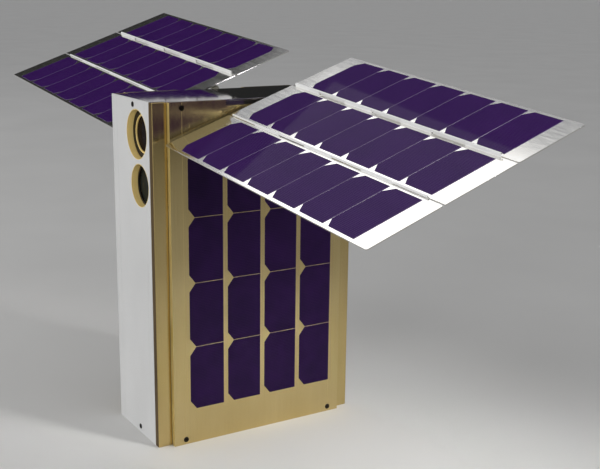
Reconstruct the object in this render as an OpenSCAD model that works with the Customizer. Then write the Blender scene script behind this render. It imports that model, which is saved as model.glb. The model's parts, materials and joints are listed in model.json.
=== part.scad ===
// Six-unit box nanosatellite with two folding solar wings.
// Millimetres. Origin: centre of the body's footprint, on the plane of the rail feet.
// +X is the normal of the right wide side, -Y is the front with the two apertures, +Z is up.

/* [Body] */
// Height of the body
body_z = 366; // [360:1:372]
// Depth of the body from front plate to rear rails
body_y = 239; // [234:1:246]
// Thickness of the body across the two wide side panels
body_x = 116; // [112:1:124]
// How far each wide side panel stands proud of the rails
side_proud = 6; // [4:1:8]
// Width of a rail seen from the front
rail_x = 8; // [7:0.5:10]
// Width of a rail seen from the side
rail_y = 16; // [12:1:18]
// Thickness of the front, rear, top and bottom plates
plate_t = 2; // [1.5:0.5:3]
// How far the rear plate is set in from the rear rails
rear_inset = 3.5; // [3:0.5:6]
// How far the bottom plate is set up from the rail feet
foot_h = 0.5; // [0.5:0.5:2]

/* [Apertures] */
// Radius of the telescope aperture
scope_r = 25.3; // [22:0.1:26]
// Telescope axis, distance right of the body centre
scope_x = 12.7; // [10:0.1:14]
// Telescope axis, distance below the top
scope_drop = 35.7; // [34:0.1:38]
// Radius of the star tracker aperture
tracker_r = 22; // [18:0.1:22.5]
// Star tracker axis, distance right of the body centre
tracker_x = 18.3; // [14:0.1:19]
// Star tracker axis, distance below the top
tracker_drop = 88; // [87:0.1:92]
// Wall thickness of both barrels
barrel_wall = 1.6; // [1.2:0.1:2]
// Depth of the lens rings behind the front face
lens_depth = 7.2; // [5:0.1:10]

/* [Solar cells] */
// Short side of a cell on the body
cell_w = 39.6; // [38:0.1:40]
// Short side of a cell on a wing
wing_cell_w = 40.2; // [38:0.1:40.6]
// Long side of a cell
cell_l = 69.1; // [66:0.1:70]
// Thickness of a cell
cell_t = 0.2; // [0.15:0.05:0.3]
// Cropped corner, along the short side
crop_w = 7; // [5:0.5:9]
// Cropped corner, along the long side
crop_l = 9; // [6:0.5:10]
// Gap between neighbouring cells of one string
cell_gap = 0.6; // [0.4:0.1:1]
// Gap between two columns of cells on a wide side
column_gap = 5.3; // [4:0.1:6]
// Height of the lowest body cells above the feet
cell_base = 38.8; // [36:0.2:44]

/* [Wings] */
// Length of a wing, away from the body
wing_l = 328; // [320:1:332]
// Distance between the two hinge lines of a wing
hinge_span = 79.2; // [78:0.2:81]
// Width of a front or rear strip
strip_w = 76.1; // [75.5:0.1:76.5]
// Thickness of a strip
strip_t = 1.2; // [1:0.1:1.6]
// Open slit along a hinge line
slit = 1.8; // [1.6:0.1:2.4]
// Bare margin between a strip's inner edge and its first cell
inner_margin = 22.4; // [20:0.1:24]
// Angle of both wings about the drive axis
wing_tilt = 20; // [0:1:60]
// Lean of both wings about the fold axis, down on the right and up on the left
wing_cant = 6.5; // [0:0.5:10]

/* [Hinges] */
// Height of the drive and fold axes below the top of the body
drive_drop = 5.5; // [5.5:0.1:8]
// Distance of the fold axis outside a wide side panel
fold_out = 4.6; // [4.4:0.1:8]
// Radius of the drive shaft
shaft_r = 2.5; // [2:0.1:2.6]
// Radius of the root hinge barrels
root_r = 2.8; // [2.6:0.1:3]
// Radius of the root hinge pin
root_pin_r = 1.5; // [1.2:0.1:1.6]
// Radius of the long hinge barrels between strips
barrel_r = 1; // [0.9:0.05:1.1]
// Radius of the long hinge pins
pin_r = 0.5; // [0.4:0.05:0.55]
// Barrels along a long hinge, an odd number
hinge_barrels = 7; // [5:2:11]
// Running clearance round a pin or shaft
running = 0.05; // [0.03:0.01:0.09]

/* [Hidden] */
$fn = 64;
// How far a cutting solid runs past the face that it cuts
over = 1;

rail_face = body_x / 2 - side_proud;
front_face = body_y / 2;
side_half = front_face - rail_y;
side_top = body_z - plate_t;
front_inner = front_face - plate_t;
rear_outer = front_face - rear_inset;
rear_inner = rear_outer - plate_t;
rail_inner = rail_face - rail_x;

scope_z = body_z - scope_drop;
tracker_z = body_z - tracker_drop;
barrel_len = 28;
lip_wall = 0.6;
seat_step = 0.5;
seat_relief = 0.3;
ring_t = 2;
lens_t = 3;
lens_crown = 1.5;
scope_stop = 5;
tracker_stop = 1.8;
lens_front = -front_face + lens_depth;

columns = 4;
rows = 4;
cell_shift = 3;

notch_half = hinge_span / 2 + slit / 2;
shaft_play = 0.5;
shaft_hole = shaft_r + shaft_play;
drive_z = body_z - drive_drop;
housing_in = 22;
housing_half = 16;
housing_h = 19;
shaft_in = 18;

fold_x = body_x / 2 + fold_out;
strip_lift = 4.8;
edge_u = 1;
cells_on_strip = 7;
corner_r = 2;
hinge_end = 7;
hinge_u0 = edge_u + hinge_end;
hinge_len = 302;
face_gap = 2;
front_axis_n = strip_lift + strip_t / 2 + cell_t + face_gap / 2;
rear_axis_n = front_axis_n + (strip_t + cell_t + face_gap) / 2;
web_t = 1;
web_bite = 0.4;
barrel_play = 0.15;
hub_half = 6;
knuckle_end = 14;
knuckle_play = 0.5;
leaf_u = 14;
leaf_t = 2;

block_x = 80;
block_y0 = -70;
block_y1 = 100;
block_top = 250;

antenna_side = 62;
antenna_t = 3;
antenna_z = 250;
antenna_corner_r = 4;
socket_w = 34;
socket_h = 12;
socket_t = 2.5;
socket_z = 60;
socket_corner_r = 3;
socket_end = 4;
socket_slot = 6;
socket_floor = 1;

GOLD = [0.66, 0.58, 0.38];
WHITE = [0.83, 0.83, 0.82];
STEEL = [0.62, 0.62, 0.63];
BLACK = [0.06, 0.06, 0.07];
GLASS = [0.10, 0.12, 0.11];
CELL = [0.20, 0.08, 0.32];
FOIL = [0.86, 0.86, 0.85];

// ---- helpers ----

// A box given by its lowest and highest corners.
module span(low, high) {
    translate(low) cube(high - low);
}

// A cylinder along Y from y0 to y1.
module along_y(r, y0, y1) {
    translate([0, y0, 0]) rotate([-90, 0, 0]) cylinder(r = r, h = y1 - y0);
}

// A cylinder along X from x0 to x1.
module along_x(r, x0, x1) {
    translate([x0, 0, 0]) rotate([0, 90, 0]) cylinder(r = r, h = x1 - x0);
}

// A rectangle from the origin with all four corners rounded.
module rounded_rect(w, l, r) {
    translate([r, 0]) square([w - 2 * r, l]);
    translate([0, r]) square([w, l - 2 * r]);
    for (x = [r, w - r], y = [r, l - r]) translate([x, y]) circle(r = r);
}

// Mirrors across the YZ plane when side is -1.
module sided(side) {
    if (side > 0) children();
    else mirror([1, 0, 0]) children();
}

// ---- body ----

module front_panel() {
    color(WHITE) difference() {
        span([-rail_face, -front_face, 0], [rail_inner, -front_inner, body_z]);
        translate([scope_x, 0, scope_z]) along_y(scope_r + lip_wall, -front_face - over, -front_inner + over);
        translate([tracker_x, 0, tracker_z]) along_y(tracker_r + lip_wall, -front_face - over, -front_inner + over);
    }
}

module rear_panel() {
    color(WHITE) span([-rail_inner, rear_inner, 0], [rail_inner, rear_outer, side_top]);
}

// A wide side panel with the notch in its top edge that the drive shaft passes through.
module side_panel(side) {
    color(GOLD) sided(side) difference() {
        span([rail_face, -side_half, 0], [body_x / 2, side_half, body_z]);
        span([rail_face - over, -notch_half, drive_z], [body_x / 2 + over, notch_half, body_z + over]);
        translate([0, 0, drive_z]) along_x(shaft_hole, rail_face - over, body_x / 2 + over);
    }
}

module top_panel() {
    color(STEEL) translate([0, 0, side_top]) linear_extrude(plate_t) {
        translate([-rail_face, -side_half]) square([2 * rail_face, 2 * side_half]);
        translate([-rail_inner, -front_inner]) square([2 * rail_inner, front_inner + rear_outer]);
    }
}

module bottom_panel() {
    color(STEEL) translate([0, 0, foot_h]) linear_extrude(plate_t) {
        translate([-rail_face, -side_half]) square([2 * rail_face, 2 * side_half]);
        translate([-rail_inner, -front_inner]) square([2 * rail_inner, front_inner + rear_inner]);
    }
}

// A corner rail; the front left one stops behind the front plate.
module rail(side, y_low, y_high) {
    color(GOLD) sided(side) span([rail_inner, y_low, 0], [rail_face, y_high, body_z]);
}

module front_right_rail() {
    rail(1, -front_face, -side_half);
}

module front_left_rail() {
    rail(-1, -front_inner, -side_half);
}

module rear_right_rail() {
    rail(1, side_half, front_face);
}

module rear_left_rail() {
    rail(-1, side_half, front_face);
}

// ---- apertures ----

// A barrel with its lip flush in the front plate and a wider seat for the lens from behind.
module barrel(r) {
    back = -front_face + barrel_len;
    color(GOLD) difference() {
        union() {
            along_y(r + lip_wall, -front_face, -front_inner);
            along_y(r + barrel_wall, -front_inner, back);
        }
        along_y(r, -front_face - over, lens_front - seat_relief);
        along_y(r + seat_step, lens_front - seat_relief, back - barrel_wall);
    }
}

module lens_ring(r, opening) {
    color(BLACK) difference() {
        along_y(r + seat_step, lens_front, lens_front + ring_t);
        along_y(opening, lens_front - over, lens_front + ring_t + over);
    }
}

// A plano-convex lens in its ring, its crown towards the front.
module lens(r) {
    ball = (r * r + lens_crown * lens_crown) / (2 * lens_crown);
    color(GLASS) translate([0, lens_front + ring_t, 0]) rotate([90, 0, 0]) {
        intersection() {
            translate([0, 0, lens_crown - ball]) sphere(r = ball);
            cylinder(r = r, h = lens_crown);
        }
        translate([0, 0, -lens_t]) cylinder(r = r, h = lens_t);
    }
}

module telescope_barrel() {
    translate([scope_x, 0, scope_z]) barrel(scope_r);
}

module telescope_ring() {
    translate([scope_x, 0, scope_z]) lens_ring(scope_r, scope_r - scope_stop);
}

module telescope_lens() {
    translate([scope_x, 0, scope_z]) lens(scope_r - scope_stop);
}

module star_tracker_barrel() {
    translate([tracker_x, 0, tracker_z]) barrel(tracker_r);
}

module star_tracker_ring() {
    translate([tracker_x, 0, tracker_z]) lens_ring(tracker_r, tracker_r - tracker_stop);
}

module star_tracker_lens() {
    translate([tracker_x, 0, tracker_z]) lens(tracker_r - tracker_stop);
}

// ---- solar cells ----

// One cell outline, its two cropped corners on the low X side.
module cell_outline(w) {
    polygon([
        [crop_w, 0], [w, 0], [w, cell_l],
        [crop_w, cell_l], [0, cell_l - crop_l], [0, crop_l]
    ]);
}

module side_cells(side) {
    first = -(columns * cell_w + (columns - 1) * column_gap) / 2 + cell_shift;
    color(CELL) sided(side) for (c = [0 : columns - 1], r = [0 : rows - 1]) {
        y = first + c * (cell_w + column_gap);
        z = cell_base + r * (cell_l + cell_gap);
        translate([body_x / 2, y, z]) rotate([90, 0, 90]) linear_extrude(cell_t) cell_outline(cell_w);
    }
}

// Seven cells in a row out along a strip whose middle is at v, cropped towards the body.
module strip_cells(side, v) {
    top = strip_lift + strip_t / 2;
    color(CELL) wing_frame(side) for (i = [0 : cells_on_strip - 1]) {
        u = edge_u + inner_margin + i * (wing_cell_w + cell_gap);
        translate([u, v - cell_l / 2, top]) linear_extrude(cell_t) cell_outline(wing_cell_w);
    }
}

// ---- inside and rear ----

module equipment_block() {
    color(STEEL) span([-block_x / 2, block_y0, foot_h + plate_t], [block_x / 2, block_y1, block_top]);
}

module patch_antenna() {
    color(WHITE) translate([-antenna_side / 2, rear_outer + antenna_t, antenna_z - antenna_side / 2])
        rotate([90, 0, 0]) linear_extrude(antenna_t) rounded_rect(antenna_side, antenna_side, antenna_corner_r);
}

module service_connector() {
    color(BLACK) difference() {
        translate([-socket_w / 2, rear_outer + socket_t, socket_z - socket_h / 2])
            rotate([90, 0, 0]) linear_extrude(socket_t) rounded_rect(socket_w, socket_h, socket_corner_r);
        span([-socket_w / 2 + socket_end, rear_outer + socket_floor, socket_z - socket_slot / 2],
             [socket_w / 2 - socket_end, front_face, socket_z + socket_slot / 2]);
    }
}

// ---- wing drives ----

module drive_housing(side) {
    low = [rail_face - housing_in, -housing_half, side_top - housing_h];
    color(BLACK) sided(side) difference() {
        span(low, [rail_face, housing_half, side_top]);
        translate([0, 0, drive_z]) along_x(shaft_r + running, rail_face - shaft_in, rail_face + over);
    }
}

// The drive's own frame: its axis along X through the slot, turned to the wing's tilt.
module drive_frame(side) {
    translate([0, 0, drive_z]) rotate([wing_tilt, 0, 0]) sided(side) children();
}

// The wing's frame: u outwards, v across the strips and n up from the fold axis.
module wing_frame(side) {
    translate([0, 0, drive_z]) rotate([wing_tilt, 0, 0]) translate([side * fold_x, 0, 0])
        rotate([0, wing_cant, 0]) sided(side) children();
}

// The shaft that turns a wing, with the hub that the root hinge folds on.
module drive_shaft(side) {
    color(STEEL) drive_frame(side) difference() {
        union() {
            along_x(shaft_r, rail_face - shaft_in, fold_x);
            translate([fold_x, 0, 0]) along_y(root_r, -hub_half, hub_half);
        }
        translate([fold_x, 0, 0]) along_y(root_pin_r + running, -hub_half - over, hub_half + over);
    }
}

module root_pin(side) {
    color(STEEL) wing_frame(side) along_y(root_pin_r, -knuckle_end, knuckle_end);
}

// Two knuckles on the root pin, each with a leaf under the middle strip.
module root_hinge(side) {
    underside = strip_lift - strip_t / 2;
    color(STEEL) wing_frame(side) for (s = [-1, 1]) scale([1, s, 1]) difference() {
        union() {
            along_y(root_r, hub_half + knuckle_play, knuckle_end);
            span([0, hub_half + knuckle_play, underside - leaf_t], [leaf_u, knuckle_end, underside]);
        }
        along_y(root_pin_r, hub_half, knuckle_end + over);
    }
}

// ---- wing strips ----

// The barrels and webs of one strip along a hinge line at v; toward is +1 when the strip is at higher v.
module hinge_half(v, axis_n, first, toward) {
    pitch = hinge_len / hinge_barrels;
    low_n = strip_lift - strip_t / 2;
    edge = v + toward * slit / 2;
    near = edge + toward * web_bite;
    far = near - toward * web_t;
    for (k = [first : 2 : hinge_barrels - 1]) {
        u0 = hinge_u0 + k * pitch + barrel_play;
        u1 = hinge_u0 + (k + 1) * pitch - barrel_play;
        translate([0, v, axis_n]) along_x(barrel_r, u0, u1);
        span([u0, min(near, far), low_n], [u1, max(near, far), axis_n]);
    }
}

module pin_bore(v, axis_n, r) {
    translate([0, v, axis_n]) along_x(r, hinge_u0 - over, hinge_u0 + hinge_len + over);
}

module middle_strip(side) {
    half = hinge_span / 2;
    color(FOIL) wing_frame(side) difference() {
        union() {
            span([edge_u, -half + slit / 2, strip_lift - strip_t / 2],
                 [edge_u + wing_l, half - slit / 2, strip_lift + strip_t / 2]);
            hinge_half(-half, front_axis_n, 0, 1);
            hinge_half(half, rear_axis_n, 0, -1);
        }
        pin_bore(-half, front_axis_n, pin_r);
        pin_bore(half, rear_axis_n, pin_r);
    }
}

// A front or rear strip, end is -1 for the front one.
module outer_strip(side, end, axis_n) {
    half = hinge_span / 2;
    near = half + slit / 2;
    low_v = end > 0 ? near : -near - strip_w;
    color(FOIL) wing_frame(side) difference() {
        union() {
            translate([edge_u, low_v, strip_lift - strip_t / 2])
                linear_extrude(strip_t) rounded_rect(wing_l, strip_w, corner_r);
            hinge_half(end * half, axis_n, 1, end);
        }
        pin_bore(end * half, axis_n, pin_r + running);
    }
}

module hinge_pin(side, end, axis_n) {
    color(STEEL) wing_frame(side) translate([0, end * hinge_span / 2, axis_n])
        along_x(pin_r, hinge_u0, hinge_u0 + hinge_len);
}

outer_mid = hinge_span / 2 + slit / 2 + strip_w / 2;

front_panel();
rear_panel();
side_panel(1);  // right_side_panel
side_panel(-1);  // left_side_panel
top_panel();
bottom_panel();
front_right_rail();
front_left_rail();
rear_right_rail();
rear_left_rail();
telescope_barrel();
telescope_ring();
telescope_lens();
star_tracker_barrel();
star_tracker_ring();
star_tracker_lens();
side_cells(1);  // right_side_cells
side_cells(-1);  // left_side_cells
equipment_block();
patch_antenna();
service_connector();
drive_housing(1);  // right_drive_housing
drive_housing(-1);  // left_drive_housing
drive_shaft(1);  // right_drive_shaft
drive_shaft(-1);  // left_drive_shaft
root_hinge(1);  // right_root_hinge
root_hinge(-1);  // left_root_hinge
root_pin(1);  // right_root_pin
root_pin(-1);  // left_root_pin
middle_strip(1);  // right_middle_strip
middle_strip(-1);  // left_middle_strip
outer_strip(1, -1, front_axis_n);  // right_front_strip
outer_strip(-1, -1, front_axis_n);  // left_front_strip
outer_strip(1, 1, rear_axis_n);  // right_rear_strip
outer_strip(-1, 1, rear_axis_n);  // left_rear_strip
strip_cells(1, 0);  // right_middle_cells
strip_cells(-1, 0);  // left_middle_cells
strip_cells(1, -outer_mid);  // right_front_cells
strip_cells(-1, -outer_mid);  // left_front_cells
strip_cells(1, outer_mid);  // right_rear_cells
strip_cells(-1, outer_mid);  // left_rear_cells
hinge_pin(1, -1, front_axis_n);  // right_front_hinge_pin
hinge_pin(-1, -1, front_axis_n);  // left_front_hinge_pin
hinge_pin(1, 1, rear_axis_n);  // right_rear_hinge_pin
hinge_pin(-1, 1, rear_axis_n);  // left_rear_hinge_pin
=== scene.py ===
import json
import math

import bpy
from mathutils import Matrix, Vector

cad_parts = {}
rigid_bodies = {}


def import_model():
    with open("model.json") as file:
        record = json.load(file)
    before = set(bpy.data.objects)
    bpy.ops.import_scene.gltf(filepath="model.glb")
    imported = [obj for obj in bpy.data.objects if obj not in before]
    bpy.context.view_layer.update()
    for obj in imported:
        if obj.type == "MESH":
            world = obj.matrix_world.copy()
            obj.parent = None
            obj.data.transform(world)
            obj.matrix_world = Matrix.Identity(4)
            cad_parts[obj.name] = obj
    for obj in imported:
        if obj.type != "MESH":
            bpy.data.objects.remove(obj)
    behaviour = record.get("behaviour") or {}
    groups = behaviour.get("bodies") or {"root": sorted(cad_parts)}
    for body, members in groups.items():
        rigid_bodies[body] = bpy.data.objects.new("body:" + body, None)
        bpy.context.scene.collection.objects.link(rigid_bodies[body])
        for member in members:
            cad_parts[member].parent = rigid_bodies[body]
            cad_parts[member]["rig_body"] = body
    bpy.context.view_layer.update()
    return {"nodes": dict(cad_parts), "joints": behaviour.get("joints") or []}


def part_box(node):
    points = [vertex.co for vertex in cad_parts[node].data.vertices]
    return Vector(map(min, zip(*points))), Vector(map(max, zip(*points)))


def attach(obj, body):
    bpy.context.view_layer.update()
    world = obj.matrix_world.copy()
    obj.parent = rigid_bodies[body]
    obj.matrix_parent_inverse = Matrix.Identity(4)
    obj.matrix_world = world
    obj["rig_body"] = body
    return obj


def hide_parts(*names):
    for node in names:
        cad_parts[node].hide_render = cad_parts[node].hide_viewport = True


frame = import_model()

MM = 0.001
JOINTS = {j["name"]: j for j in frame["joints"]}


# ---------------------------------------------------------------- camera

CAMERA_AZIMUTH = math.radians(58.14)
CAMERA_ELEVATION = math.radians(13.49)
CAMERA_ROLL = math.radians(0.70)
CAMERA_DISTANCE = 1.14945
AIM_RIGHT = 0.07315      # how far the aim lies to the right of the body's axis
AIM_UP = 0.20966         # and above its feet
LENS_MM = 61.76
SENSOR_MM = 36
NEAREST_SEEN = 0.05      # metres


def set_camera():
    """A camera on the view's own line, turned a little about it."""
    azimuth, elevation = CAMERA_AZIMUTH, CAMERA_ELEVATION
    back = Vector((
        math.sin(azimuth) * math.cos(elevation),
        -math.cos(azimuth) * math.cos(elevation),
        math.sin(elevation),
    ))
    right = Vector((math.cos(azimuth), math.sin(azimuth), 0))
    up = back.cross(right)
    turned_right = right * math.cos(CAMERA_ROLL) + up * math.sin(CAMERA_ROLL)
    turned_up = back.cross(turned_right)
    place = right * AIM_RIGHT + Vector((0, 0, AIM_UP)) + back * CAMERA_DISTANCE
    bpy.ops.object.camera_add()
    camera = bpy.context.object
    camera.data.lens = LENS_MM
    camera.data.sensor_width = SENSOR_MM
    camera.data.clip_start = NEAREST_SEEN
    turn = Matrix((turned_right, turned_up, back)).transposed().to_4x4()
    camera.matrix_world = Matrix.Translation(place) @ turn
    bpy.context.scene.camera = camera


# ---------------------------------------------------------------- making materials

def srgb(code):
    """A hex colour as the linear one that a shader takes."""
    parts = [int(code[i:i + 2], 16) / 255 for i in (1, 3, 5)]
    return tuple(c / 12.92 if c <= 0.04045 else ((c + 0.055) / 1.055) ** 2.4 for c in parts) + (1.0,)


def apart(*spacing_mm):
    """The scale that sets a pattern's lumps so many millimetres apart along X, Y and Z."""
    return tuple(1 / (s * MM) for s in spacing_mm)


# The values between which nearly all of a noise lies, which a MapRange then spreads from 0 to 1.
NOISE_SPAN = {"From Min": 0.3, "From Max": 0.7}


def add(tree, kind, inputs=(), **settings):
    """Adds a node with its settings. An input is a value, a node, or one of a node's outputs."""
    made = tree.nodes.new("ShaderNode" + kind)
    for name, value in settings.items():
        setattr(made, name, value)
    for name, value in dict(inputs).items():
        if isinstance(value, bpy.types.Node):
            value = value.outputs[0]
        if isinstance(value, bpy.types.NodeSocket):
            tree.links.new(value, made.inputs[name])
        else:
            made.inputs[name].default_value = value
    return made


def new_material(name):
    """An empty material, its tree and the object's own coordinates."""
    material = bpy.data.materials.new(name)
    material.use_nodes = True
    tree = material.node_tree
    tree.nodes.clear()
    return material, tree, add(tree, "TexCoord").outputs["Object"]


# Chromate conversion coat on brushed aluminium: a pale gold skin over upright brush lines.
def chromate_gold(name, light, deep, roughness):
    material, tree, place = new_material(name)
    wide = add(tree, "Mapping", {"Vector": place, "Scale": apart(60, 60, 110)})
    clouds = add(tree, "TexNoise", {"Vector": wide, "Scale": 1.0, "Detail": 3.0})
    spread = add(tree, "MapRange", {"Value": clouds, **NOISE_SPAN})
    tone = add(tree, "Mix", {0: spread, 6: srgb(light), 7: srgb(deep)}, data_type="RGBA").outputs[2]
    # Real brush lines are 0.1 mm apart, too fine to show, so these are drawn 1.4 mm apart.
    drawn = add(tree, "Mapping", {"Vector": place, "Scale": apart(1.4, 1.4, 90)})
    lines = add(tree, "TexNoise", {"Vector": drawn, "Scale": 1.0, "Detail": 2.0})
    shade = add(tree, "MapRange", {"Value": lines, **NOISE_SPAN, "To Max": 0.05})
    colour = add(tree, "Mix", {0: shade, 6: tone, 7: srgb("#6b5a35")}, data_type="RGBA").outputs[2]
    satin = add(tree, "MapRange", {
        "Value": lines, **NOISE_SPAN, "To Min": roughness - 0.03, "To Max": roughness + 0.03})
    relief = add(tree, "Bump", {"Height": lines, "Distance": 0.004 * MM, "Strength": 0.3})
    shader = add(tree, "BsdfPrincipled", {
        "Base Color": colour, "Metallic": 1.0, "Roughness": satin, "Normal": relief})
    add(tree, "OutputMaterial", {"Surface": shader})
    return material


# Matt gold lacquer inside a turned bore: bright even in the shade, with rings left by the lathe. A copy of
# it on the side panels' bare step faces is painted light.
def lacquered_bore_and_lit_step(name, light, deep, metal):
    material, tree, place = new_material(name)
    drawn = add(tree, "Mapping", {"Vector": place, "Scale": apart(40, 0.5, 40)})
    rings = add(tree, "TexNoise", {"Vector": drawn, "Scale": 1.0, "Detail": 2.0})
    spread = add(tree, "MapRange", {"Value": rings, **NOISE_SPAN})
    colour = add(tree, "Mix", {0: spread, 6: srgb(light), 7: srgb(deep)}, data_type="RGBA").outputs[2]
    satin = add(tree, "MapRange", {"Value": rings, **NOISE_SPAN, "To Min": 0.3, "To Max": 0.4})
    shader = add(tree, "BsdfPrincipled", {
        "Base Color": colour, "Metallic": metal, "Roughness": satin, "IOR": 1.5})
    add(tree, "OutputMaterial", {"Surface": shader})
    return material


# White silicate thermal paint, sprayed: matt, with a fine orange peel.
def thermal_paint():
    material, tree, place = new_material("white_thermal_paint")
    wide = add(tree, "Mapping", {"Vector": place, "Scale": apart(70, 70, 120)})
    clouds = add(tree, "TexNoise", {"Vector": wide, "Scale": 1.0, "Detail": 2.0})
    spread = add(tree, "MapRange", {"Value": clouds, **NOISE_SPAN})
    tone = add(tree, "Mix", {0: spread, 6: srgb("#dcdcdb"), 7: srgb("#d4d4d3")}, data_type="RGBA").outputs[2]
    fine = add(tree, "Mapping", {"Vector": place, "Scale": apart(1.6, 1.6, 1.6)})
    peel = add(tree, "TexNoise", {"Vector": fine, "Scale": 1.0, "Detail": 2.0})
    satin = add(tree, "MapRange", {"Value": peel, **NOISE_SPAN, "To Min": 0.42, "To Max": 0.55})
    relief = add(tree, "Bump", {"Height": peel, "Distance": 0.02 * MM, "Strength": 0.6})
    shader = add(tree, "BsdfPrincipled", {
        "Base Color": tone, "Roughness": satin, "IOR": 1.45, "Normal": relief})
    add(tree, "OutputMaterial", {"Surface": shader})
    return material


# Bare aluminium plate, polished by hand: a clouded mirror with faint wipe marks.
def polished_plate(name, light, deep, roughness):
    material, tree, place = new_material(name)
    wide = add(tree, "Mapping", {"Vector": place, "Scale": apart(40, 40, 40)})
    clouds = add(tree, "TexNoise", {"Vector": wide, "Scale": 1.0, "Detail": 2.0})
    spread = add(tree, "MapRange", {"Value": clouds, **NOISE_SPAN})
    tone = add(tree, "Mix", {0: spread, 6: srgb(light), 7: srgb(deep)}, data_type="RGBA").outputs[2]
    wiped = add(tree, "Mapping", {"Vector": place, "Scale": apart(30, 3, 30)})
    wipes = add(tree, "TexNoise", {"Vector": wiped, "Scale": 1.0, "Detail": 3.0})
    haze = add(tree, "MapRange", {
        "Value": wipes, **NOISE_SPAN, "To Min": roughness, "To Max": roughness + 0.02})
    shader = add(tree, "BsdfPrincipled", {"Base Color": tone, "Metallic": 1.0, "Roughness": haze})
    add(tree, "OutputMaterial", {"Surface": shader})
    return material


# Bright rolled aluminium sheet: near-mirror, with roll lines along the wing.
def rolled_sheet():
    material, tree, place = new_material("bright_rolled_sheet")
    wide = add(tree, "Mapping", {"Vector": place, "Scale": apart(50, 50, 50)})
    clouds = add(tree, "TexNoise", {"Vector": wide, "Scale": 1.0, "Detail": 2.0})
    spread = add(tree, "MapRange", {"Value": clouds, **NOISE_SPAN})
    tone = add(tree, "Mix", {0: spread, 6: srgb("#f2f1ee"), 7: srgb("#e8e6e2")}, data_type="RGBA").outputs[2]
    drawn = add(tree, "Mapping", {"Vector": place, "Scale": apart(120, 2.4, 2.4)})
    rolls = add(tree, "TexNoise", {"Vector": drawn, "Scale": 1.0, "Detail": 2.0})
    haze = add(tree, "MapRange", {"Value": rolls, **NOISE_SPAN, "To Min": 0.1, "To Max": 0.16})
    relief = add(tree, "Bump", {"Height": rolls, "Distance": 0.004 * MM, "Strength": 0.3})
    shader = add(tree, "BsdfPrincipled", {
        "Base Color": tone, "Metallic": 1.0, "Roughness": haze, "Normal": relief})
    add(tree, "OutputMaterial", {"Surface": shader})
    return material


FINGER_PITCH = 1.8       # millimetres from one silver finger to the next
FINGER_FILL = 0.12       # share of that pitch that is silver
FINGER_SHARE = 0.14      # how strongly a finger that fine shows


# Triple-junction solar cell under coated cover glass: violet, with hair-thin silver fingers across it
# and a silver busbar along its outer side. The glass is coated against reflection, so it shines weakly.
def solar_cell(name, deep, light, silver, gloss, busbar_mm, busbar_share):
    material, tree, place = new_material(name)
    wide = add(tree, "Mapping", {"Vector": place, "Scale": apart(24, 24, 24)})
    clouds = add(tree, "TexNoise", {"Vector": wide, "Scale": 1.0, "Detail": 3.0})
    spread = add(tree, "MapRange", {"Value": clouds, **NOISE_SPAN})
    tone = add(tree, "Mix", {0: spread, 6: srgb(deep), 7: srgb(light)}, data_type="RGBA").outputs[2]
    spot = add(tree, "SeparateXYZ", {"Vector": add(tree, "UVMap", uv_map="cell")})
    across = add(tree, "Math", {0: spot.outputs["Y"], 1: 1 / FINGER_PITCH}, operation="MULTIPLY")
    wave = add(tree, "Math", {0: across}, operation="FRACT")
    finger = add(tree, "Math", {0: wave, 1: FINGER_FILL}, operation="LESS_THAN")
    faint = add(tree, "Math", {0: finger, 1: FINGER_SHARE}, operation="MULTIPLY")
    outer = add(tree, "Math", {0: spot.outputs["X"], 1: busbar_mm}, operation="GREATER_THAN")
    strong = add(tree, "Math", {0: outer, 1: busbar_share}, operation="MULTIPLY")
    share = add(tree, "Math", {0: faint, 1: strong}, operation="MAXIMUM")
    colour = add(tree, "Mix", {0: share, 6: tone, 7: srgb(silver)}, data_type="RGBA").outputs[2]
    shader = add(tree, "BsdfPrincipled", {
        "Base Color": colour, "Roughness": 0.5, "Specular IOR Level": 0.0,
        "Coat Weight": gloss, "Coat Roughness": 0.03, "Coat IOR": 1.5})
    add(tree, "OutputMaterial", {"Surface": shader})
    return material


# Sawn edge of a cell and its cover glass: a frosted violet, painted pale enough to stand in for the bright
# sheet between the cells, so partly painted light.
def cell_edge():
    material, tree, place = new_material("frosted_and_lit_cell_edge")
    fine = add(tree, "Mapping", {"Vector": place, "Scale": apart(2, 2, 2)})
    chips = add(tree, "TexNoise", {"Vector": fine, "Scale": 1.0, "Detail": 2.0})
    spread = add(tree, "MapRange", {"Value": chips, **NOISE_SPAN})
    tone = add(tree, "Mix", {0: spread, 6: srgb("#a898bc"), 7: srgb("#8f7ea6")}, data_type="RGBA").outputs[2]
    shader = add(tree, "BsdfPrincipled", {"Base Color": tone, "Roughness": 0.6, "IOR": 1.45})
    add(tree, "OutputMaterial", {"Surface": shader})
    return material


# Ground or blasted metal: a fine satin with no direction.
def satin_metal(name, light, deep, roughness):
    material, tree, place = new_material(name)
    fine = add(tree, "Mapping", {"Vector": place, "Scale": apart(0.8, 0.8, 0.8)})
    marks = add(tree, "TexNoise", {"Vector": fine, "Scale": 1.0, "Detail": 2.0})
    spread = add(tree, "MapRange", {"Value": marks, **NOISE_SPAN})
    tone = add(tree, "Mix", {0: spread, 6: srgb(light), 7: srgb(deep)}, data_type="RGBA").outputs[2]
    satin = add(tree, "MapRange", {
        "Value": marks, **NOISE_SPAN, "To Min": roughness, "To Max": roughness + 0.12})
    shader = add(tree, "BsdfPrincipled", {"Base Color": tone, "Metallic": 1.0, "Roughness": satin})
    add(tree, "OutputMaterial", {"Surface": shader})
    return material


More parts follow.
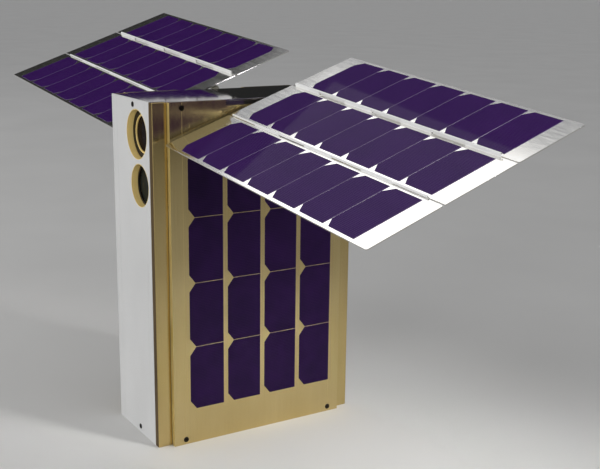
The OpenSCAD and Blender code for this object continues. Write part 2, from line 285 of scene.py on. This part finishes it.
# White lacquer on the hinge barrels, which keeps them from glinting: smooth, with a soft shine.
def white_lacquer():
    material, tree, place = new_material("white_hinge_lacquer")
    wide = add(tree, "Mapping", {"Vector": place, "Scale": apart(12, 12, 12)})
    clouds = add(tree, "TexNoise", {"Vector": wide, "Scale": 1.0, "Detail": 2.0})
    spread = add(tree, "MapRange", {"Value": clouds, **NOISE_SPAN})
    tone = add(tree, "Mix", {0: spread, 6: srgb("#fdfdfb"), 7: srgb("#f6f6f3")}, data_type="RGBA").outputs[2]
    satin = add(tree, "MapRange", {"Value": clouds, **NOISE_SPAN, "To Min": 0.3, "To Max": 0.4})
    shader = add(tree, "BsdfPrincipled", {"Base Color": tone, "Roughness": satin, "IOR": 1.5})
    add(tree, "OutputMaterial", {"Surface": shader})
    return material


# Dyed anodic skin on blasted aluminium: matt and deep, as it swallows stray light.
def dyed_anodise(name, light, deep, gloss):
    material, tree, place = new_material(name)
    fine = add(tree, "Mapping", {"Vector": place, "Scale": apart(0.7, 0.7, 0.7)})
    blast = add(tree, "TexNoise", {"Vector": fine, "Scale": 1.0, "Detail": 2.0})
    spread = add(tree, "MapRange", {"Value": blast, **NOISE_SPAN})
    tone = add(tree, "Mix", {0: spread, 6: srgb(light), 7: srgb(deep)}, data_type="RGBA").outputs[2]
    satin = add(tree, "MapRange", {"Value": blast, **NOISE_SPAN, "To Min": 0.4, "To Max": 0.55})
    relief = add(tree, "Bump", {"Height": blast, "Distance": 0.01 * MM, "Strength": 0.5})
    shader = add(tree, "BsdfPrincipled", {
        "Base Color": tone, "Roughness": satin, "IOR": 1.6, "Specular IOR Level": gloss, "Normal": relief})
    add(tree, "OutputMaterial", {"Surface": shader})
    return material


# Coated optical glass over a black barrel: near-black, with a painted reflection, lighter and warmer, that
# grows as the glass is seen more edge-on.
def coated_glass(name, middle, rim):
    material, tree, place = new_material(name)
    facing = add(tree, "LayerWeight", {"Blend": 0.35}).outputs["Facing"]
    # Painted reflection: the colour turns to the rim one as the surface is seen more edge-on.
    grazing_reflection = add(tree, "Mix", {0: facing, 6: srgb(middle), 7: srgb(rim)}, data_type="RGBA").outputs[2]
    wide = add(tree, "Mapping", {"Vector": place, "Scale": apart(9, 9, 9)})
    dust = add(tree, "TexNoise", {"Vector": wide, "Scale": 1.0, "Detail": 3.0})
    film = add(tree, "MapRange", {"Value": dust, **NOISE_SPAN, "To Max": 0.1})
    colour = add(tree, "Mix", {0: film, 6: grazing_reflection, 7: srgb("#4a4644")}, data_type="RGBA").outputs[2]
    shader = add(tree, "BsdfPrincipled", {
        "Base Color": colour, "Roughness": 0.3, "Specular IOR Level": 0.0,
        "Coat Weight": 0.14, "Coat Roughness": 0.02})
    add(tree, "OutputMaterial", {"Surface": shader})
    return material


# Glazed ceramic laminate of a patch antenna: a warm off-white with a soft shine.
def glazed_ceramic():
    material, tree, place = new_material("glazed_ceramic")
    wide = add(tree, "Mapping", {"Vector": place, "Scale": apart(8, 8, 8)})
    clouds = add(tree, "TexNoise", {"Vector": wide, "Scale": 1.0, "Detail": 3.0})
    spread = add(tree, "MapRange", {"Value": clouds, **NOISE_SPAN})
    tone = add(tree, "Mix", {0: spread, 6: srgb("#cfcabb"), 7: srgb("#c3bda9")}, data_type="RGBA").outputs[2]
    satin = add(tree, "MapRange", {"Value": clouds, **NOISE_SPAN, "To Min": 0.3, "To Max": 0.42})
    shader = add(tree, "BsdfPrincipled", {
        "Base Color": tone, "Roughness": satin, "IOR": 1.55, "Coat Weight": 0.4, "Coat Roughness": 0.1})
    add(tree, "OutputMaterial", {"Surface": shader})
    return material


FINISH = {
    "panel_gold": chromate_gold("gold_chromated_panel", "#d0bc89", "#c5b07a", 0.19),
    "rail_gold": chromate_gold("gold_chromated_rail", "#cbb580", "#bfa970", 0.21),
    # Painted shade: a darker copy of the rail gold for the rails' front faces.
    "painted_shade_gold": chromate_gold("rail_front_gold_painted_shade", "#6f5526", "#5f471d", 0.34),
    "bore_gold": lacquered_bore_and_lit_step("gold_lacquered_bore", "#ffeaa2", "#fad681", 0.05),
    # Painted light: a lighter, matt copy of the wall gold for the walls' step faces.
    "lit_step_gold": lacquered_bore_and_lit_step("gold_step_painted_light", "#e2cc90", "#d0b872", 0.3),
    "paint": thermal_paint(),
    "plate": polished_plate("polished_aluminium_plate", "#9c98a0", "#918d94", 0.05),
    "base_plate": polished_plate("brushed_base_plate", "#a3a19f", "#8d8b8a", 0.25),
    "sheet": rolled_sheet(),
    "barrel": white_lacquer(),
    "wing_cell": solar_cell("violet_wing_cell", "#341255", "#39155a", "#b9a8cc", 0.12, 39.6, 0.25),
    # Painted shade: the wall cells are a darker copy of the wing cell, their silver fingers and busbar too.
    "wall_cell": solar_cell("wall_cell_painted_shade", "#1b0d2b", "#221034", "#5a4a6c", 0.12, 39.1, 0.2),
    "cell_edge": cell_edge(),
    "steel": satin_metal("ground_stainless", "#a5a193", "#8b887c", 0.28),
    "oxide": satin_metal("black_oxide_steel", "#34302b", "#211e1b", 0.35),
    "copper": satin_metal("tinned_copper_patch", "#c9b9a4", "#b7a690", 0.3),
    "black": dyed_anodise("black_anodised_aluminium", "#171310", "#0c0a0a", 0.3),
    "violet": dyed_anodise("violet_anodised_aluminium", "#2c143f", "#221033", 0.3),
    # The rim colours are painted reflection, lighter than the glass's middle.
    "scope_glass": coated_glass("coated_scope_glass", "#0a0708", "#20110f"),
    "tracker_glass": coated_glass("coated_tracker_glass", "#1a1c19", "#2f332d"),
    "ceramic": glazed_ceramic(),
    "polymer": dyed_anodise("moulded_black_polymer", "#1b1b1d", "#242427", 0.5),
    "block": satin_metal("milled_alloy_block", "#8d8d8f", "#79797b", 0.32),
}


# ---------------------------------------------------------------- shaping tools

CUTTER_REACH = 1 * MM       # how far a cutter stands out of the face that it cuts
ROUND_SIDES = 32
SMOOTH_UP_TO = 35           # degrees between two faces that still read as one round face
SAME_POINT = 0.002 * MM
SAME_PLANE = math.radians(0.5)


def deselect():
    """Leaves edit mode, with nothing selected."""
    if bpy.context.object and bpy.context.object.mode == "EDIT":
        bpy.ops.object.mode_set(mode="OBJECT")
    bpy.ops.object.select_all(action="DESELECT")


def pick(piece):
    """Selects one piece alone and makes it the active one."""
    deselect()
    piece.select_set(True)
    bpy.context.view_layer.objects.active = piece


def settle(piece):
    """Moves a piece's place into its mesh."""
    pick(piece)
    bpy.ops.object.transform_apply(location=True, rotation=True, scale=True)


def finish_piece(piece, name, body, finish):
    """Names a finished piece, gives it its material and lets it ride on its body."""
    settle(piece)
    piece.name = name
    piece.data.name = name
    piece.data.materials.clear()
    piece.data.materials.append(FINISH[finish])
    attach(piece, body)


def crisp(piece):
    """Smooth round faces with sharp edges left sharp."""
    pick(piece)
    bpy.ops.object.shade_smooth_by_angle(angle=math.radians(SMOOTH_UP_TO))
    even = piece.modifiers.new("even_normals", "WEIGHTED_NORMAL")
    even.keep_sharp = True
    bpy.ops.object.modifier_apply(modifier=even.name)


def cut(piece, cutters):
    """Cuts each of the cutter solids out of a piece."""
    for cutter in cutters:
        pick(piece)
        knife = piece.modifiers.new("cut", "BOOLEAN")
        knife.operation = "DIFFERENCE"
        knife.solver = "EXACT"
        knife.object = cutter
        bpy.ops.object.modifier_apply(modifier=knife.name)
        bpy.data.objects.remove(cutter)


def joined(pieces):
    """Pieces joined as one."""
    pick(pieces[0])
    for piece in pieces:
        piece.select_set(True)
    bpy.ops.object.join()
    return pieces[0]


def drill(place, axis, radius, depth):
    """A cutter for a round hole whose mouth is at place, with the axis pointing out of it."""
    deselect()
    outwards = Vector(axis)
    turn = outwards.to_track_quat("Z", "Y").to_euler()
    middle = Vector(place) + outwards * ((CUTTER_REACH - depth) / 2)
    bpy.ops.mesh.primitive_cylinder_add(
        vertices=ROUND_SIDES, radius=radius, depth=depth + CUTTER_REACH, location=middle, rotation=turn)
    return bpy.context.object


def box_between(low, high):
    """A solid box between two corners."""
    deselect()
    low, high = Vector(low), Vector(high)
    bpy.ops.mesh.primitive_cube_add(size=1, location=(low + high) / 2)
    bpy.context.object.scale = high - low
    bpy.ops.object.transform_apply(location=False, rotation=False, scale=True)
    return bpy.context.object


def break_edges(piece, width_mm, sharpness=50, segments=2):
    """Bevels every edge sharper than the angle given."""
    pick(piece)
    bpy.ops.object.mode_set(mode="EDIT")
    bpy.ops.mesh.select_mode(type="EDGE")
    bpy.ops.mesh.select_all(action="DESELECT")
    bpy.ops.mesh.edges_select_sharp(sharpness=math.radians(sharpness))
    bpy.ops.mesh.bevel(offset=width_mm * MM, segments=segments, affect="EDGES", clamp_overlap=True)
    bpy.ops.object.mode_set(mode="OBJECT")


def dressed(node, finish, edge_mm, cutters=(), segments=2):
    """A copy of a CAD node, merged, cut and with its edges broken, in the node's place."""
    source = frame["nodes"][node]
    mesh = source.data.copy()
    piece = bpy.data.objects.new(node + "_finished", mesh)
    bpy.context.scene.collection.objects.link(piece)
    pick(piece)
    bpy.ops.object.mode_set(mode="EDIT")
    bpy.ops.mesh.select_all(action="SELECT")
    bpy.ops.mesh.remove_doubles(threshold=SAME_POINT)
    bpy.ops.mesh.dissolve_limited(angle_limit=SAME_PLANE)
    bpy.ops.object.mode_set(mode="OBJECT")
    cut(piece, cutters)
    break_edges(piece, edge_mm, SMOOTH_UP_TO, segments)
    crisp(piece)
    body = source["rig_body"]
    finish_piece(piece, node + "_finished", body, finish)
    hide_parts(node)
    return piece


def refinish(piece, finish, wanted):
    """Gives another finish to the faces that wanted picks, by their centre and normal."""
    piece.data.materials.append(FINISH[finish])
    last = len(piece.data.materials) - 1
    for face in piece.data.polygons:
        if wanted(face.center, face.normal):
            face.material_index = last


# ---------------------------------------------------------------- screws

SCREW_RECESS_R = 3.0 * MM
SCREW_RECESS_DEPTH = 1.5 * MM
SCREW_HEAD_R = 2.7 * MM
SCREW_HEAD_T = 1.1 * MM
SCREW_HEAD_Z = -1.05 * MM       # the head's middle, sunk under the face
HEX_R = 1.45 * MM
HEX_CUTTER_T = 1.6 * MM
HEX_CUTTER_Z = -0.5 * MM


def screw_master():
    """A cap screw's head lying on Z, its rim rounded and a hexagon socket sunk in it."""
    deselect()
    bpy.ops.mesh.primitive_cylinder_add(
        vertices=ROUND_SIDES, radius=SCREW_HEAD_R, depth=SCREW_HEAD_T, location=(0, 0, SCREW_HEAD_Z))
    head = bpy.context.object
    deselect()
    bpy.ops.mesh.primitive_cylinder_add(
        vertices=6, radius=HEX_R, depth=HEX_CUTTER_T, location=(0, 0, HEX_CUTTER_Z))
    cut(head, [bpy.context.object])
    break_edges(head, 0.15)
    crisp(head)
    return head


def screws(name, places, axis, body):
    """Cap screws at the given mouths, all facing along axis, as one piece."""
    made = []
    turn = Vector(axis).to_track_quat("Z", "Y").to_matrix().to_4x4()
    for place in places:
        copy = SCREW.copy()
        copy.data = SCREW.data.copy()
        bpy.context.scene.collection.objects.link(copy)
        copy.matrix_world = Matrix.Translation(Vector(place)) @ turn
        made.append(copy)
    finish_piece(joined(made), name, body, "oxide")


# ---------------------------------------------------------------- the body

SCREW = screw_master()

front_low, front_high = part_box("front_panel")
wall_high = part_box("right_side_panel")[1]
rear_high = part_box("rear_panel")[1]
FRONT_LINES_X = (-50.5 * MM, -39 * MM, 35 * MM)
GROOVE_W = 0.35 * MM
GROOVE_DEPTH = 0.2 * MM
WALL_SCREW_Y = 90 * MM
SCREW_FROM_TOP = 5.8 * MM
WALL_SCREW_Z = 5.5 * MM
PLATE_SCREW_X = 4.4 * MM
REAR_SCREW_X = 35 * MM
PLATE_SCREW_Z = 7 * MM
BEZEL_SIDES = 96
BEZEL_W = 1.7 * MM
BEZEL_PLAY = 0.05 * MM
BEZEL_SUNK = 0.3 * MM       # how far the bezel's face lies behind the black ring's
BEZEL_LIFT = 0.3 * MM       # room for the lens's crown behind it
NOTCH_SUNK = 6.3 * MM       # how far the strips lie inside the wall's face
NOTCH_T = 0.5 * MM
NOTCH_PLAY = 0.2 * MM
NOTCH_REACH = 43 * MM       # from the drive's axis to a strip's far end
PATCH_SHARE = 0.62          # the antenna patch's side as a share of its block's
PATCH_T = 0.3 * MM
PATCH_TRIM = 4.0 * MM
FACES_FRONT = -0.9          # the Y of a normal below which a face counts as a front one


def dress_front_panel():
    """The front plate with its two screws and three faint joint lines."""
    face = front_low.y
    mouths = [(PLATE_SCREW_X, face, front_high.z - SCREW_FROM_TOP), (PLATE_SCREW_X, face, PLATE_SCREW_Z)]
    cutters = [drill(p, (0, -1, 0), SCREW_RECESS_R, SCREW_RECESS_DEPTH) for p in mouths]
    for x in FRONT_LINES_X:
        cutters.append(box_between(
            (x - GROOVE_W / 2, face - CUTTER_REACH, -CUTTER_REACH),
            (x + GROOVE_W / 2, face + GROOVE_DEPTH, front_high.z + CUTTER_REACH)))
    dressed("front_panel", "paint", 0.3, cutters)
    screws("front_panel_screws", mouths, (0, -1, 0), "bus")


def dress_wall(side, node):
    """A wide side panel with four screws and the joint lines that run through them."""
    face = side * wall_high.x
    mouths = [(face, y, z) for y in (-WALL_SCREW_Y, WALL_SCREW_Y)
              for z in (wall_high.z - SCREW_FROM_TOP, WALL_SCREW_Z)]
    cutters = [drill(p, (side, 0, 0), SCREW_RECESS_R, SCREW_RECESS_DEPTH) for p in mouths]
    for y in (-WALL_SCREW_Y, WALL_SCREW_Y):
        inside, outside = sorted((face - side * GROOVE_DEPTH, face + side * CUTTER_REACH))
        cutters.append(box_between(
            (inside, y - GROOVE_W / 2, -CUTTER_REACH),
            (outside, y + GROOVE_W / 2, wall_high.z + CUTTER_REACH)))
    wall = dressed(node, "panel_gold", 0.5, cutters)
    # The front-facing step faces take a lighter, matt copy of the gold: painted light.
    refinish(wall, "lit_step_gold", lambda centre, normal: normal.y < FACES_FRONT)
    screws(node + "_screws", mouths, (side, 0, 0), "bus")


def dress_rear_panel():
    """The rear plate with its four screws."""
    face = rear_high.y
    mouths = [(x, face, z) for x in (-REAR_SCREW_X, REAR_SCREW_X)
              for z in (PLATE_SCREW_Z, rear_high.z - SCREW_FROM_TOP)]
    cutters = [drill(p, (0, 1, 0), SCREW_RECESS_R, SCREW_RECESS_DEPTH) for p in mouths]
    dressed("rear_panel", "paint", 0.3, cutters)
    screws("rear_panel_screws", mouths, (0, 1, 0), "bus")


def dress_antenna():
    """The ceramic block with the copper patch on it, two of its corners trimmed for tuning."""
    dressed("patch_antenna", "ceramic", 0.4)
    low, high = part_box("patch_antenna")
    middle = (low + high) / 2
    reach = PATCH_SHARE * (high.x - low.x) / 2
    patch = box_between(
        (middle.x - reach, high.y, middle.z - reach), (middle.x + reach, high.y + PATCH_T, middle.z + reach))
    corners = []
    for side in (-1, 1):
        deselect()
        bpy.ops.mesh.primitive_cube_add(
            size=PATCH_TRIM, location=(middle.x + side * reach, high.y, middle.z + side * reach),
            rotation=(0, math.radians(45), 0))
        corners.append(bpy.context.object)
    cut(patch, corners)
    break_edges(patch, 0.05)
    crisp(patch)
    finish_piece(patch, "antenna_patch", "bus", "copper")


def dress_bezel():
    """The thin gold retainer that holds the telescope's lens in its black ring."""
    ring_low, ring_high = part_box("telescope_ring")
    lens_low, lens_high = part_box("telescope_lens")
    middle = (lens_low + lens_high) / 2
    outer = (lens_high.x - lens_low.x) / 2 - BEZEL_PLAY
    front = ring_low.y + BEZEL_SUNK
    thickness = ring_high.y - front - BEZEL_LIFT
    deselect()
    bpy.ops.mesh.primitive_circle_add(
        vertices=BEZEL_SIDES, radius=outer, fill_type="NGON",
        location=(middle.x, front + thickness, middle.z), rotation=(math.radians(90), 0, 0))
    ring = bpy.context.object
    bpy.ops.object.mode_set(mode="EDIT")
    bpy.ops.mesh.select_mode(type="FACE")
    bpy.ops.mesh.select_all(action="SELECT")
    bpy.ops.mesh.inset(thickness=BEZEL_W)
    bpy.ops.mesh.delete(type="FACE")
    bpy.ops.mesh.select_all(action="SELECT")
    bpy.ops.mesh.extrude_region_move(TRANSFORM_OT_translate={"value": (0, -thickness, 0)})
    bpy.ops.mesh.select_all(action="SELECT")
    bpy.ops.mesh.normals_make_consistent(inside=False)
    bpy.ops.object.mode_set(mode="OBJECT")
    break_edges(ring, 0.2)
    crisp(ring)
    finish_piece(ring, "telescope_bezel", "bus", "bore_gold")


def dress_notch(side, name):
    """The dark violet strips that close a notch on both sides of the drive."""
    housing_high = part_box(name + "_drive_housing")[1]
    low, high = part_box(name + "_drive_shaft")[0].z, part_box("top_panel")[0].z
    middle = side * (wall_high.x - NOTCH_SUNK)
    made = []
    for end in (-1, 1):
        near, far = sorted((end * (housing_high.y + NOTCH_PLAY), end * NOTCH_REACH))
        strip = box_between((middle - NOTCH_T / 2, near, low), (middle + NOTCH_T / 2, far, high))
        break_edges(strip, 0.15)
        made.append(strip)
    strips = joined(made)
    crisp(strips)
    finish_piece(strips, name + "_notch_strips", "bus", "violet")


dress_front_panel()
dress_wall(1, "right_side_panel")
dress_wall(-1, "left_side_panel")
dress_rear_panel()
dressed("top_panel", "plate", 0.3)
dressed("bottom_panel", "base_plate", 0.3)
for rail in ("front_right_rail", "front_left_rail", "rear_right_rail", "rear_left_rail"):
    bar = dressed(rail, "rail_gold", 0.8, segments=3)
    # The rails' front faces take the darker copy of their gold: painted shade.
    refinish(bar, "painted_shade_gold", lambda centre, normal: normal.y < FACES_FRONT)
for barrel in ("telescope_barrel", "star_tracker_barrel"):
    dressed(barrel, "bore_gold", 0.15)
for ring in ("telescope_ring", "star_tracker_ring"):
    dressed(ring, "black", 0.3)
dress_bezel()
dressed("telescope_lens", "scope_glass", 0.2)
dressed("star_tracker_lens", "tracker_glass", 0.2)
dressed("equipment_block", "block", 1.0)
dress_antenna()
dressed("service_connector", "polymer", 0.3)
dress_notch(1, "right")
dress_notch(-1, "left")


# ---------------------------------------------------------------- the wings

EDGE_TILT = 0.5             # a face whose normal leans further from the cell's own is its edge
ABOVE_SHEET = 0.1 * MM      # a face whose middle stands higher is a hinge barrel's


def add_cell_map(piece, along, across):
    """Gives each cell a map in millimetres from its own corner, X along the short side."""
    mesh = piece.data
    leader = list(range(len(mesh.vertices)))

    def island(i):
        while leader[i] != i:
            leader[i] = leader[leader[i]]
            i = leader[i]
        return i

    for edge in mesh.edges:
        leader[island(edge.vertices[0])] = island(edge.vertices[1])
    corners = {}
    for vertex in mesh.vertices:
        low = corners.setdefault(island(vertex.index), [math.inf, math.inf])
        low[0] = min(low[0], vertex.co.dot(along))
        low[1] = min(low[1], vertex.co.dot(across))
    layer = mesh.uv_layers.new(name="cell")
    for loop in mesh.loops:
        low = corners[island(loop.vertex_index)]
        point = mesh.vertices[loop.vertex_index].co
        layer.data[loop.index].uv = ((point.dot(along) - low[0]) / MM, (point.dot(across) - low[1]) / MM)


def dress_cells(node, finish, along, across):
    """Cells with a map for their fingers and with pale sawn edges, partly painted light that brightens the
    gaps between cells.
    """
    cells = dressed(node, finish, 0.05, segments=1)
    add_cell_map(cells, along, across)
    upwards = along.cross(across).normalized()
    # The pale edges are partly painted light: they brighten the gaps between the cells.
    refinish(cells, "cell_edge", lambda centre, normal: abs(normal.dot(upwards)) < EDGE_TILT)


def dress_strip(node, cells, along, across):
    """A strip whose hinge barrels, which stand above its sheet, are lacquered white."""
    upwards = along.cross(across).normalized()
    if upwards.z < 0:
        upwards.negate()
    sheet_top = min(vertex.co.dot(upwards) for vertex in frame["nodes"][cells].data.vertices)
    strip = dressed(node, "sheet", 0.2)
    refinish(strip, "barrel", lambda centre, normal: centre.dot(upwards) - sheet_top > ABOVE_SHEET)


# The upright wall cells take the darker copy of the cell: painted shade.
dress_cells("right_side_cells", "wall_cell", Vector((0, 1, 0)), Vector((0, 0, 1)))
dress_cells("left_side_cells", "wall_cell", Vector((0, 1, 0)), Vector((0, 0, 1)))
for side, hand in ((1, "right"), (-1, "left")):
    outwards = side * Vector(JOINTS[hand + "_rear_fold"]["axis"])
    sideways = side * Vector(JOINTS[hand + "_wing_fold"]["axis"])
    for strip in ("front", "middle", "rear"):
        dress_strip(f"{hand}_{strip}_strip", f"{hand}_{strip}_cells", outwards, sideways)
        dress_cells(f"{hand}_{strip}_cells", "wing_cell", outwards, sideways)
    for steel in ("drive_shaft", "root_hinge", "root_pin", "front_hinge_pin", "rear_hinge_pin"):
        dressed(f"{hand}_{steel}", "steel", 0.1)
    dressed(f"{hand}_drive_housing", "black", 0.6)


bpy.data.objects.remove(SCREW)


# ---------------------------------------------------------------- studio

FLOOR_SIZE = 400            # metres, so that its edge is the horizon


def area_light(name, place, target, size, watts, spread=180):
    """A softbox that is seen only by its light and in reflections. Its spread is in degrees."""
    deselect()
    bpy.ops.object.light_add(type="AREA", location=place)
    lamp = bpy.context.object
    lamp.name = name
    lamp.data.shape = "RECTANGLE"
    lamp.data.size, lamp.data.size_y = size
    lamp.data.energy = watts
    lamp.data.spread = math.radians(spread)
    lamp.rotation_euler = (Vector(target) - Vector(place)).to_track_quat("-Z", "Y").to_euler()
    lamp.visible_camera = False


def studio_floor():
    """A matt floor out to the horizon."""
    deselect()
    bpy.ops.mesh.primitive_plane_add(size=FLOOR_SIZE, location=(0, 0, 0))
    floor = bpy.context.object
    floor.name = "studio_floor"
    material, tree, place = new_material("matt_pale_floor")
    wide = add(tree, "Mapping", {"Vector": place, "Scale": apart(300, 300, 300)})
    clouds = add(tree, "TexNoise", {"Vector": wide, "Scale": 1.0, "Detail": 2.0})
    spread = add(tree, "MapRange", {"Value": clouds, **NOISE_SPAN})
    tone = add(tree, "Mix", {0: spread, 6: srgb("#d8d7d4"), 7: srgb("#d3d2cf")}, data_type="RGBA").outputs[2]
    shader = add(tree, "BsdfPrincipled", {"Base Color": tone, "Roughness": 0.8, "IOR": 1.3})
    add(tree, "OutputMaterial", {"Surface": shader})
    floor.data.materials.append(material)


def studio_card(name, corners, tone, glow):
    """A card that only reflections see: dark ones shade the bright metal, a glowing one lights it."""
    deselect()
    bpy.ops.mesh.primitive_plane_add(size=1, location=(0, 0, 0))
    card = bpy.context.object
    card.name = name
    for vertex, corner in zip(card.data.vertices, corners):
        vertex.co = corner
    material, tree = new_material(name + "_face")[:2]
    shader = add(tree, "BsdfPrincipled", {
        "Base Color": srgb(tone), "Roughness": 0.9, "IOR": 1.3,
        "Emission Color": srgb(tone), "Emission Strength": glow})
    add(tree, "OutputMaterial", {"Surface": shader})
    card.data.materials.append(material)
    card.visible_camera = False
    card.visible_diffuse = False
    card.visible_shadow = False


def set_world():
    """A pale sky that darkens a little upwards."""
    world = bpy.data.worlds.new("soft_room")
    bpy.context.scene.world = world
    world.use_nodes = True
    tree = world.node_tree
    tree.nodes.clear()
    height = add(tree, "SeparateXYZ", {"Vector": add(tree, "TexCoord").outputs["Generated"]}).outputs["Z"]
    share = add(tree, "MapRange", {"Value": height, "From Min": 0.0, "From Max": 0.5})
    tone = add(tree, "Mix", {0: share, 6: srgb("#eeeeee"), 7: srgb("#aaabae")}, data_type="RGBA").outputs[2]
    sky = add(tree, "Background", {"Color": tone, "Strength": 0.9})
    add(tree, "OutputWorld", {"Surface": sky})


# The softbox that the right wing's upper face mirrors: its middle and its two directions.
SOFTBOX_MIDDLE = Vector((-1.567, 0.439, 1.979))
SOFTBOX_BACKWARDS = Vector((0.248, 0.969, 0))
SOFTBOX_UPWARDS = Vector((0.653, -0.167, 0.738))
SOFTBOX_CORNERS = ((-1.4, 0.02), (0.309, -0.268), (-1.0, 1.2), (1.2, 1.02))     # metres along them

# A dark card beside the right wall, and one beyond the left wing.
WALL_FLAG_FEET = ((0.99, 2.25), (2.51, 0.05))
WALL_FLAG_TOP = 0.9
SIDE_FLAG_X = -2.0
SIDE_FLAG_Y = (-0.6, 2.6)
SIDE_FLAG_Z = (0.02, 1.76)


set_camera()
set_world()
studio_floor()
wall_flag = [(x, y, z) for z in (0.0, WALL_FLAG_TOP) for x, y in WALL_FLAG_FEET]
side_flag = [(SIDE_FLAG_X, y, z) for z in SIDE_FLAG_Z for y in SIDE_FLAG_Y]
wing_softbox = [SOFTBOX_MIDDLE + SOFTBOX_BACKWARDS * back + SOFTBOX_UPWARDS * up
                for back, up in SOFTBOX_CORNERS]
studio_card("wall_flag", wall_flag, "#2c2420", glow=0.0)
studio_card("side_flag", side_flag, "#3a3a38", glow=0.0)
studio_card("wing_softbox", wing_softbox, "#ffffff", glow=1.1)
area_light("key_softbox", place=(-1.6, -2.6, 2.2), target=(0, 0, 0.2), size=(2.6, 2.6), watts=33)
area_light("front_fill", place=(1.5, -2.2, 0.9), target=(0, -0.1, 0.25), size=(1.2, 1.2), watts=13)
area_light(
    "foot_fill", place=(1.2, 0.7, 0.6), target=(0.13, 0.03, 0), size=(0.3, 0.3), watts=0.55, spread=26)
bpy.context.scene.view_settings.view_transform = "Standard"
